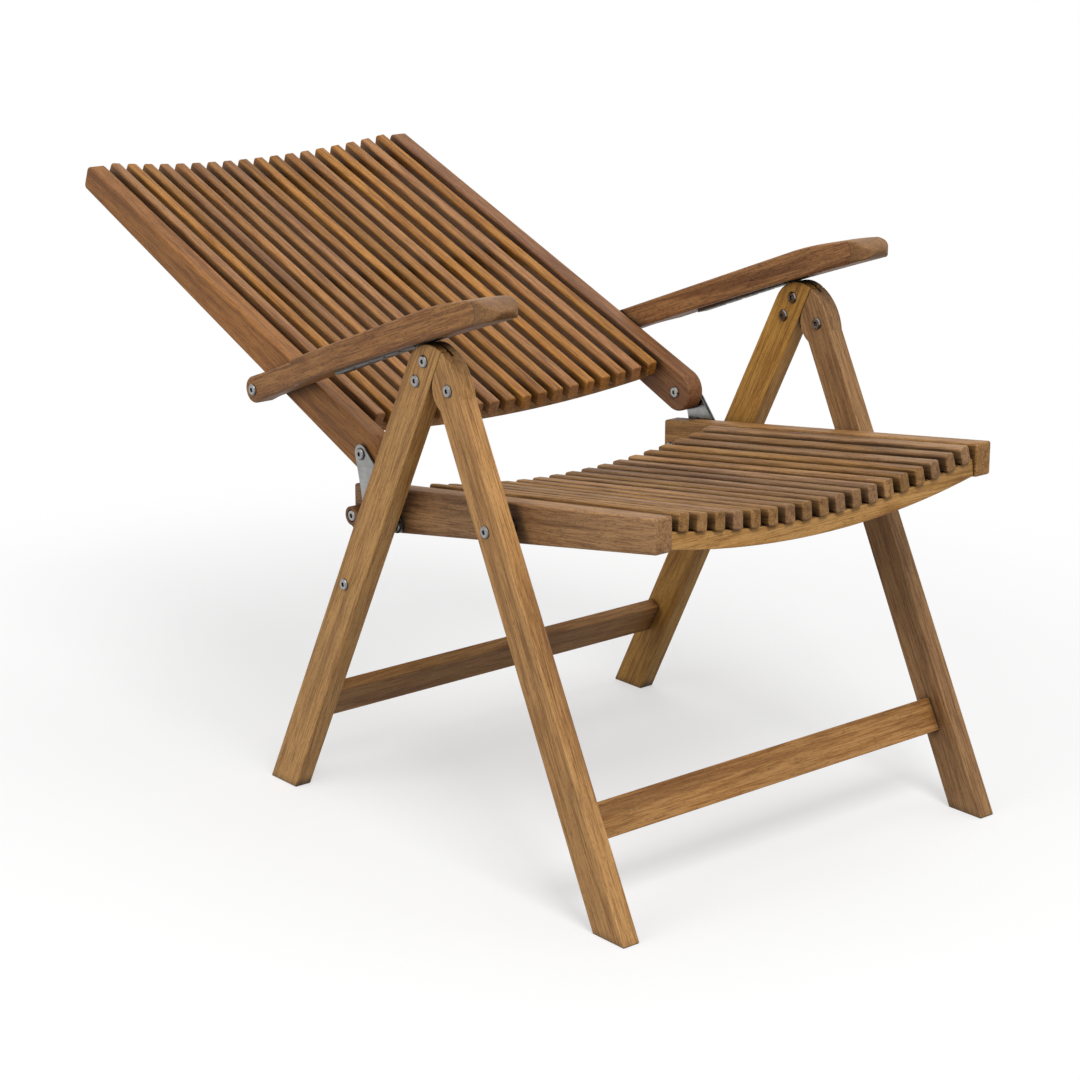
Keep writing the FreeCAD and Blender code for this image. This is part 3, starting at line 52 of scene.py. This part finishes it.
# Floor: its half side, and the radii where it starts to turn white and is white
FLOOR_REACH = 14.0
LIT_RADIUS = 0.5
WHITE_RADIUS = 1.4
FLOOR_BOUNCE = (0.34, 0.34, 0.34, 1)
FLOOR_SHOWN = (0.95, 0.95, 0.95, 1)

SKY_LIGHT = 0.42
LAMP_TARGET = (0.0, 0.0, 0.4)

CAMERA_PLACE = (-1.99272, -2.45536, 1.18920)
CAMERA_TARGET = (0.0, -0.06348, 0.28174)
CAMERA_ANGLE = 22.83
CAMERA_RANGE = 60


def rgb(red, green, blue):
    """A colour as the photo shows it, turned into scene values."""
    values = []
    for channel in (red, green, blue):
        part = channel / 255
        values.append(part / 12.92 if part <= 0.04045 else ((part + 0.055) / 1.055) ** 2.4)
    return (*values, 1.0)


class Graph:
    """Short calls for the nodes of one tree."""

    def __init__(self, tree):
        self.tree = tree

    def add(self, kind, **settings):
        node = self.tree.nodes.new(kind)
        for key, value in settings.items():
            setattr(node, key, value)
        return node

    def link(self, source, target):
        self.tree.links.new(source, target)

    def feed(self, value, socket):
        if isinstance(value, bpy.types.NodeSocket):
            self.link(value, socket)
        else:
            socket.default_value = value

    def math(self, operation, first, second=0.0):
        node = self.add("ShaderNodeMath", operation=operation)
        self.feed(first, node.inputs[0])
        self.feed(second, node.inputs[1])
        return node.outputs[0]

    def vector(self, operation, first, second):
        node = self.add("ShaderNodeVectorMath", operation=operation)
        self.feed(first, node.inputs[0])
        self.feed(second, node.inputs[1])
        return node.outputs[0]

    def scaled(self, vector, factors):
        return self.vector("MULTIPLY", vector, factors)

    def split(self, vector):
        node = self.add("ShaderNodeSeparateXYZ")
        self.link(vector, node.inputs[0])
        return node.outputs

    def noise(self, vector, scale, detail, roughness=0.5, distortion=0.0):
        node = self.add("ShaderNodeTexNoise")
        self.link(vector, node.inputs["Vector"])
        node.inputs["Scale"].default_value = scale
        node.inputs["Detail"].default_value = detail
        node.inputs["Roughness"].default_value = roughness
        node.inputs["Distortion"].default_value = distortion
        return node

    def ramp(self, factor, *stops):
        node = self.add("ShaderNodeValToRGB")
        elements = node.color_ramp.elements
        while len(elements) < len(stops):
            elements.new(0.5)
        for element, (place, colour) in zip(elements, stops):
            element.position = place
            element.color = colour
        self.link(factor, node.inputs[0])
        return node.outputs[0]

    def span(self, value, low, high, new_low, new_high):
        node = self.add("ShaderNodeMapRange", interpolation_type="SMOOTHSTEP")
        self.feed(value, node.inputs["Value"])
        node.inputs["From Min"].default_value = low
        node.inputs["From Max"].default_value = high
        node.inputs["To Min"].default_value = new_low
        node.inputs["To Max"].default_value = new_high
        return node.outputs["Result"]

    def mix(self, factor, first, second, blend="MIX"):
        node = self.add("ShaderNodeMix", data_type="RGBA", blend_type=blend)
        self.feed(factor, node.inputs[0])
        self.feed(first, node.inputs[6])
        self.feed(second, node.inputs[7])
        return node.outputs[2]

    def shaded(self, colour, factor):
        return self.mix(1.0, colour, factor, "MULTIPLY")

    def corners(self, distance, samples):
        """How open each place is, from 0 in a narrow gap to 1 on a free face."""
        node = self.add("ShaderNodeAmbientOcclusion", samples=samples)
        node.inputs["Distance"].default_value = distance
        return node.outputs["AO"]

    def bump(self, shader, height, strength, distance):
        node = self.add("ShaderNodeBump")
        node.inputs["Strength"].default_value = strength
        node.inputs["Distance"].default_value = distance
        self.link(height, node.inputs["Height"])
        self.link(node.outputs[0], shader.inputs["Normal"])

    def surface(self, shader):
        output = self.add("ShaderNodeOutputMaterial")
        self.link(shader.outputs[0], output.inputs["Surface"])


def new_material(name):
    material = bpy.data.materials.new(name)
    material.use_nodes = True
    material.node_tree.nodes.clear()
    return material, Graph(material.node_tree)


def teak(name, light, middle, dark, seed, lean=0.0, across=False, pitch=0.0, figure_depth=0.55,
         pore_depth=0.3, tone_low=0.82, tone_high=1.14, front_block=False):
    """Oiled teak with its grain along the boards and another figure in each board, and painted
    shade in its gaps and corners.
    """
    light, middle, dark = rgb(*light), rgb(*middle), rgb(*dark)
    material, graph = new_material(name)
    place = graph.add("ShaderNodeTexCoord").outputs["Object"]
    turned = graph.add("ShaderNodeMapping")
    graph.link(place, turned.inputs["Vector"])
    if across:
        turned.inputs["Rotation"].default_value = (0, 0, math.pi / 2)
    else:
        turned.inputs["Rotation"].default_value = (-math.radians(lean), 0, 0)
    along = turned.outputs[0]

    x, y, _ = graph.split(place)
    if across:
        board = graph.math("FLOOR", graph.math("DIVIDE", y, BAR_SPACING))
    elif pitch:
        board = graph.math("FLOOR", graph.math("DIVIDE", x, pitch))
    else:
        board = graph.math("SIGN", x)
    if front_block:
        _, forth, level = graph.split(along)
        rise = graph.math("SUBTRACT", level, JOINT_LEVEL)
        curve = graph.math("MULTIPLY", graph.math("MULTIPLY", rise, rise), JOINT_CURVE)
        past_joint = graph.math("SUBTRACT", graph.math("SUBTRACT", forth, JOINT_FRONT), curve)
        block = graph.math("LESS_THAN", past_joint, 0.0)
        board = graph.math("ADD", board, graph.math("MULTIPLY", block, 5.0))
    pick = graph.add("ShaderNodeTexWhiteNoise", noise_dimensions="1D")
    graph.link(graph.math("ADD", board, seed), pick.inputs["W"])
    shift = graph.scaled(pick.outputs["Color"], (1.7, 3.1, 2.3))
    moved = graph.vector("ADD", along, shift)

    sway = graph.noise(graph.scaled(moved, (1.0, 0.30, 1.0)), SWAY_SCALE, 1.5)
    swayed = graph.vector("ADD", moved, graph.scaled(sway.outputs["Color"], (0.009, 0.0, 0.009)))
    drawn = graph.scaled(swayed, (1.0, 0.035, 1.0))
    drawn_pores = graph.scaled(swayed, (1.0, 0.16, 1.0))
    drawn_heart = graph.scaled(moved, (1.0, 0.06, 1.0))
    drawn_blotch = graph.scaled(moved, (1.0, 0.4, 1.0))
    figure = graph.noise(drawn, FIGURE_SCALE, 2.0, 0.5, 0.3).outputs["Fac"]
    lines = graph.noise(drawn, LINE_SCALE, 2.0, 0.55).outputs["Fac"]
    pores = graph.noise(drawn_pores, PORE_SCALE, 1.0, 0.6).outputs["Fac"]
    heart = graph.noise(drawn_heart, HEART_SCALE, 1.0).outputs["Fac"]
    blotch = graph.noise(drawn_blotch, BLOTCH_SCALE, 2.0).outputs["Fac"]

    base = graph.ramp(figure, (0.28, dark), (0.44, middle), (0.60, light), (0.76, middle))
    base = graph.mix(figure_depth, middle, base)
    base = graph.mix(graph.span(lines, 0.50, 0.64, 0.0, 0.5), base, dark)
    base = graph.mix(graph.span(lines, 0.50, 0.36, 0.0, 0.5), base, light)
    base = graph.mix(graph.span(heart, 0.57, 0.70, 0.0, 0.45), base, dark)
    base = graph.shaded(base, graph.span(pores, 0.52, 0.70, 1.0, 1.0 - pore_depth))
    base = graph.shaded(base, graph.span(blotch, 0.30, 0.70, 0.88, 1.08))

    chance = pick.outputs["Value"]
    redder = graph.math("FRACT", graph.math("MULTIPLY", chance, 7.3))
    tone = graph.add("ShaderNodeHueSaturation")
    graph.link(base, tone.inputs["Color"])
    graph.link(graph.span(chance, 0.0, 1.0, tone_low, tone_high), tone.inputs["Value"])
    graph.link(graph.span(redder, 0.0, 1.0, 0.497, 0.501), tone.inputs["Hue"])
    graph.link(graph.span(redder, 0.0, 1.0, 0.94, 1.05), tone.inputs["Saturation"])
    colour = tone.outputs[0]
    if front_block:
        greyed = graph.mix(0.5, colour, rgb(*BLOCK_TINT))
        colour = graph.mix(block, colour, greyed)
        near_joint = graph.math("ABSOLUTE", past_joint)
        colour = graph.shaded(colour, graph.span(near_joint, 0.0002, 0.0010, 0.5, 1.0))
    # Painted shade: darker in the narrow gaps between slats, in corners and where parts meet
    gap_openness_for_painted_shade = graph.corners(WOOD_PAINTED_SHADE_REACH, 6)
    colour = graph.shaded(colour, graph.span(gap_openness_for_painted_shade, 0.25, 0.85, 0.12, 1.0))

    shader = graph.add("ShaderNodeBsdfPrincipled")
    graph.link(colour, shader.inputs["Base Color"])
    shader.inputs["Specular IOR Level"].default_value = 0.28
    roughness = graph.math("ADD", graph.math("MULTIPLY", lines, 0.16), 0.46)
    graph.link(roughness, shader.inputs["Roughness"])
    height = graph.math("SUBTRACT", lines, graph.math("MULTIPLY", pores, 0.8))
    graph.bump(shader, height, 0.25, 0.0005)
    graph.surface(shader)
    return material


def steel(name, colour, roughness, streaks, shadow):
    """Brushed stainless steel with handling stains, and painted shade below, on rims and in its
    sockets.
    """
    material, graph = new_material(name)
    coords = graph.add("ShaderNodeTexCoord")
    place = coords.outputs["Object"]
    brushed = graph.noise(graph.scaled(place, (1.0, 0.2, 1.0)), streaks, 3.0).outputs["Fac"]
    stains = graph.noise(place, 75.0, 3.0).outputs["Fac"]
    sideways, _, upwards = graph.split(coords.outputs["Normal"])
    flat = graph.math("ABSOLUTE", sideways)
    gap_openness_for_painted_shade = graph.corners(STEEL_PAINTED_SHADE_REACH, 8)

    base = graph.shaded(rgb(*colour), graph.span(brushed, 0.3, 0.7, 0.90, 1.05))
    base = graph.shaded(base, graph.span(stains, 0.35, 0.65, 0.84, 1.0))
    # Painted shade: darker on faces that turn downwards
    base = graph.shaded(base, graph.span(upwards, -0.7, 0.5, shadow, 1.0))
    # Painted shade: darker on the rims of heads and edges that turn away from the side faces
    base = graph.shaded(base, graph.span(flat, 0.55, 0.95, 0.5, 1.0))
    # Painted shade: darker in sockets, recesses and narrow gaps
    base = graph.shaded(base, graph.span(gap_openness_for_painted_shade, 0.3, 0.85, 0.03, 1.0))

    shader = graph.add("ShaderNodeBsdfPrincipled")
    shader.inputs["Metallic"].default_value = 1.0
    graph.link(base, shader.inputs["Base Color"])
    graph.link(graph.span(brushed, 0.3, 0.7, roughness - 0.06, roughness + 0.10),
               shader.inputs["Roughness"])
    graph.bump(shader, brushed, 0.06, 0.0002)
    graph.surface(shader)
    return material


front_leg_wood = teak("teak_front_legs", (199, 152, 93), (167, 122, 69), (111, 72, 40),
                      seed=3.0, lean=FRONT_LEG)
rear_leg_wood = teak("teak_rear_legs", (203, 155, 86), (176, 129, 66), (120, 78, 35),
                     seed=8.0, lean=REAR_LEG, tone_low=0.92, tone_high=1.1)
bar_wood = teak("teak_stretchers", (188, 143, 92), (160, 114, 66), (106, 66, 36),
                seed=11.0, across=True)
batten_wood = teak("teak_battens", (204, 158, 102), (178, 132, 77), (123, 82, 43),
                   seed=15.0, across=True, tone_low=0.94, tone_high=1.08)
seat_rail_wood = teak("teak_seat_rails", (193, 146, 91), (163, 118, 67), (100, 64, 35),
                      seed=21.0, lean=SEAT, pore_depth=0.4)
seat_slat_wood = teak("teak_seat_slats", (170, 130, 83), (143, 103, 61), (87, 57, 33),
                      seed=40.0, lean=SEAT, pitch=SLAT_PITCH, figure_depth=0.75)
back_rail_wood = teak("teak_back_rails", (162, 112, 62), (138, 90, 47), (92, 54, 26),
                      seed=33.0, lean=BACK)
back_slat_wood = teak("teak_back_slats", (177, 127, 70), (148, 99, 49), (101, 60, 28),
                      seed=70.0, lean=BACK, pitch=SLAT_PITCH, pore_depth=0.24)
arm_wood = teak("teak_armrests", (182, 132, 73), (148, 99, 52), (97, 59, 29),
                seed=52.0, lean=ARM, pore_depth=0.5, tone_low=0.94, tone_high=1.08,
                front_block=True)
link_wood = teak("teak_links", (150, 106, 66), (126, 86, 50), (86, 54, 30),
                 seed=90.0, lean=LINK)
bolt_steel = steel("steel_bolts", (178, 177, 174), 0.2, 500.0, 0.4)
plate_steel = steel("steel_plates", (176, 176, 174), 0.28, 300.0, 0.4)
strip_steel = steel("steel_strips", (150, 150, 148), 0.46, 300.0, 0.6)

# Words in the pieces' names, each with its material. The first one that is found counts.
FINISHES = (
    ("bolt", bolt_steel),
    ("spacer", bolt_steel),
    ("strip", strip_steel),
    ("plate", plate_steel),
    ("bracket", plate_steel),
    ("stretcher", bar_wood),
    ("batten", batten_wood),
    ("front_leg", front_leg_wood),
    ("rear_leg", rear_leg_wood),
    ("seat_rail", seat_rail_wood),
    ("seat_slat", seat_slat_wood),
    ("back_rail", back_rail_wood),
    ("back_slat", back_slat_wood),
    ("seat_link", link_wood),
    ("armrest", arm_wood),
)

for name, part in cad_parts.items():
    material = next(finish for word, finish in FINISHES if word in name)
    if not part.data.materials:
        part.data.materials.append(material)
    for slot in part.material_slots:
        slot.material = material


def seen(graph):
    """One for the rays that show a background: the camera's, reflected and passing ones."""
    path = graph.add("ShaderNodeLightPath")
    mirrored = graph.math("MAXIMUM", path.outputs["Is Glossy Ray"],
                          path.outputs["Is Transmission Ray"])
    return graph.math("MAXIMUM", path.outputs["Is Camera Ray"], mirrored)


def studio_floor():
    """A pale floor that keeps the shadow near the chair and runs out to plain white."""
    material, graph = new_material("studio_floor")
    shows = seen(graph)
    lit = graph.add("ShaderNodeBsdfDiffuse")
    graph.link(graph.mix(shows, FLOOR_BOUNCE, FLOOR_SHOWN), lit.inputs["Color"])
    white = graph.add("ShaderNodeEmission")
    place = graph.add("ShaderNodeTexCoord").outputs["Object"]
    radius = graph.add("ShaderNodeVectorMath", operation="LENGTH")
    graph.link(place, radius.inputs[0])
    far = graph.span(radius.outputs["Value"], LIT_RADIUS, WHITE_RADIUS, 0.5, 1.0)
    blend = graph.add("ShaderNodeMixShader")
    graph.link(graph.math("MULTIPLY", far, shows), blend.inputs[0])
    graph.link(lit.outputs[0], blend.inputs[1])
    graph.link(white.outputs[0], blend.inputs[2])
    graph.surface(blend)
    return material


floor_mesh = bpy.data.meshes.new("floor")
floor_mesh.from_pydata([(-FLOOR_REACH, -FLOOR_REACH, 0), (FLOOR_REACH, -FLOOR_REACH, 0),
                        (FLOOR_REACH, FLOOR_REACH, 0), (-FLOOR_REACH, FLOOR_REACH, 0)], [],
                       [(0, 1, 2, 3)])
floor_mesh.materials.append(studio_floor())
floor = bpy.data.objects.new("floor", floor_mesh)
bpy.context.scene.collection.objects.link(floor)

world = bpy.data.worlds.new("studio")
bpy.context.scene.world = world
world.use_nodes = True
sky = world.node_tree.nodes["Background"]
sky.inputs["Color"].default_value = (1, 1, 1, 1)
surroundings = Graph(world.node_tree)
strength = surroundings.span(seen(surroundings), 0.0, 1.0, SKY_LIGHT, 1.0)
surroundings.link(strength, sky.inputs["Strength"])


def aim(thing, place, target):
    thing.location = place
    direction = Vector(target) - Vector(place)
    thing.rotation_euler = direction.to_track_quat("-Z", "Y").to_euler()
    bpy.context.scene.collection.objects.link(thing)


def lamp(name, place, size, power):
    light = bpy.data.lights.new(name, "AREA")
    light.shape = "SQUARE"
    light.size = size
    light.energy = power
    aim(bpy.data.objects.new(name, light), place, LAMP_TARGET)


lamp("key", (-1.2, -3.2, 4.2), 2.0, 150)
lamp("fill", (-4.2, 0.2, 2.4), 2.6, 60)
lamp("top", (1.4, 0.8, 4.6), 2.6, 30)

camera = bpy.data.cameras.new("camera")
camera.sensor_fit = "HORIZONTAL"
camera.angle = math.radians(CAMERA_ANGLE)
camera.clip_end = CAMERA_RANGE
view = bpy.data.objects.new("camera", camera)
aim(view, CAMERA_PLACE, CAMERA_TARGET)
bpy.context.scene.camera = view
bpy.context.scene.view_settings.view_transform = "Standard"
